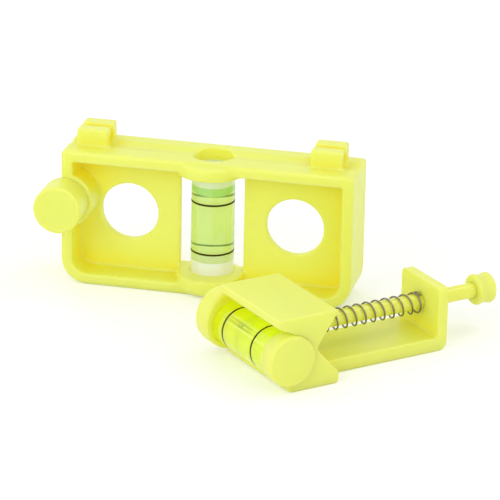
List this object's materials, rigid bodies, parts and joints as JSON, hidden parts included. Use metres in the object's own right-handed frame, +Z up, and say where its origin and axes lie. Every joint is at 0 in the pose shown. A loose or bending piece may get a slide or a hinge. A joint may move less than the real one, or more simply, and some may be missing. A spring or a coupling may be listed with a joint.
{
  "type": "bow string level",
  "caption": "Bow string level with two string clips and an end knob, standing beside a spring plunger arrow level, both with ringed tubular vials.",
  "frame": {"origin": "on the standing surface, under the middle of the string level's lower rim", "axes": "+X along the string level away from its end knob, +Y from its front to its back, +Z up"},
  "size_m": [0.1061, 0.0686, 0.0362],
  "materials": {
    "yellow_plastic": "moulded fluorescent yellow, satin",
    "clear_acrylic": "clear polished acrylic",
    "green_liquid": "clear fluorescent yellow-green liquid",
    "black_ink": "black printed ring",
    "spring_steel": "bright drawn spring wire"
  },
  "bodies": {
    "levels": {"string_level_frame": "yellow_plastic", "upright_vial_tube": "clear_acrylic", "upright_vial_plug": "clear_acrylic", "upright_vial_liquid": "green_liquid", "upright_vial_mark_1": "black_ink", "upright_vial_mark_2": "black_ink", "end_knob": "yellow_plastic", "arrow_level_frame": "yellow_plastic", "arrow_vial_tube": "clear_acrylic", "arrow_vial_plug": "clear_acrylic", "arrow_vial_liquid": "green_liquid", "arrow_vial_mark_1": "black_ink", "arrow_vial_mark_2": "black_ink", "arrow_vial_cap": "yellow_plastic", "plunger_spring": "spring_steel"},
    "plunger_assembly": {"plunger": "yellow_plastic", "plunger_knob": "yellow_plastic"}
  },
  "joints": [
    {"name": "plunger_slide", "type": "slide", "parent": "levels", "child": "plunger_assembly", "axis": [0.7218, 0.6921, 0], "range_m": [0, 0.008], "stiffness_N_per_m": 380, "springref_m": -0.003, "deforming": ["plunger_spring"]}
  ]
}
